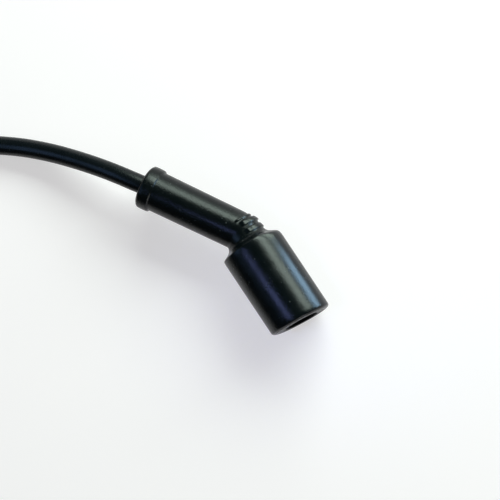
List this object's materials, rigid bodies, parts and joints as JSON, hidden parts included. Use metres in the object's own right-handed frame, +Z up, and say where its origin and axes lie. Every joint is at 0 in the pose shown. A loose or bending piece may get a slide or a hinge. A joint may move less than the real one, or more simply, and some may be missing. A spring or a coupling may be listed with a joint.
{
  "type": "spark plug wire",
  "caption": "Ignition lead: black silicone-jacketed cable with a bent coil boot at one end and a straight plug boot at the other, each holding a crimped socket terminal.",
  "frame": {"origin": "on the floor under the middle of the coil boot's bounding box", "axes": "+Z up from the floor that the lead lies on; the coil boot's mouth points between +X and -Y, 55 degrees below +X; the cable runs off towards -X"},
  "size_m": [0.2982, 0.0723, 0.0238],
  "materials": {
    "boot_silicone": "black moulded silicone, satin, with fine dust",
    "cable_jacket": "black extruded silicone, a little glossier than the boots",
    "terminal_steel": "stamped stainless sheet",
    "spring_steel": "drawn spring wire",
    "core": "coated suppression core, matt"
  },
  "bodies": {
    "root": {"coil_boot": "boot_silicone", "coil_terminal": "terminal_steel", "coil_snap_spring": "spring_steel", "coil_core_tail": "core", "cable": "cable_jacket", "plug_boot": "boot_silicone", "plug_terminal": "terminal_steel", "plug_snap_spring": "spring_steel", "plug_core_tail": "core"}
  },
  "joints": []
}
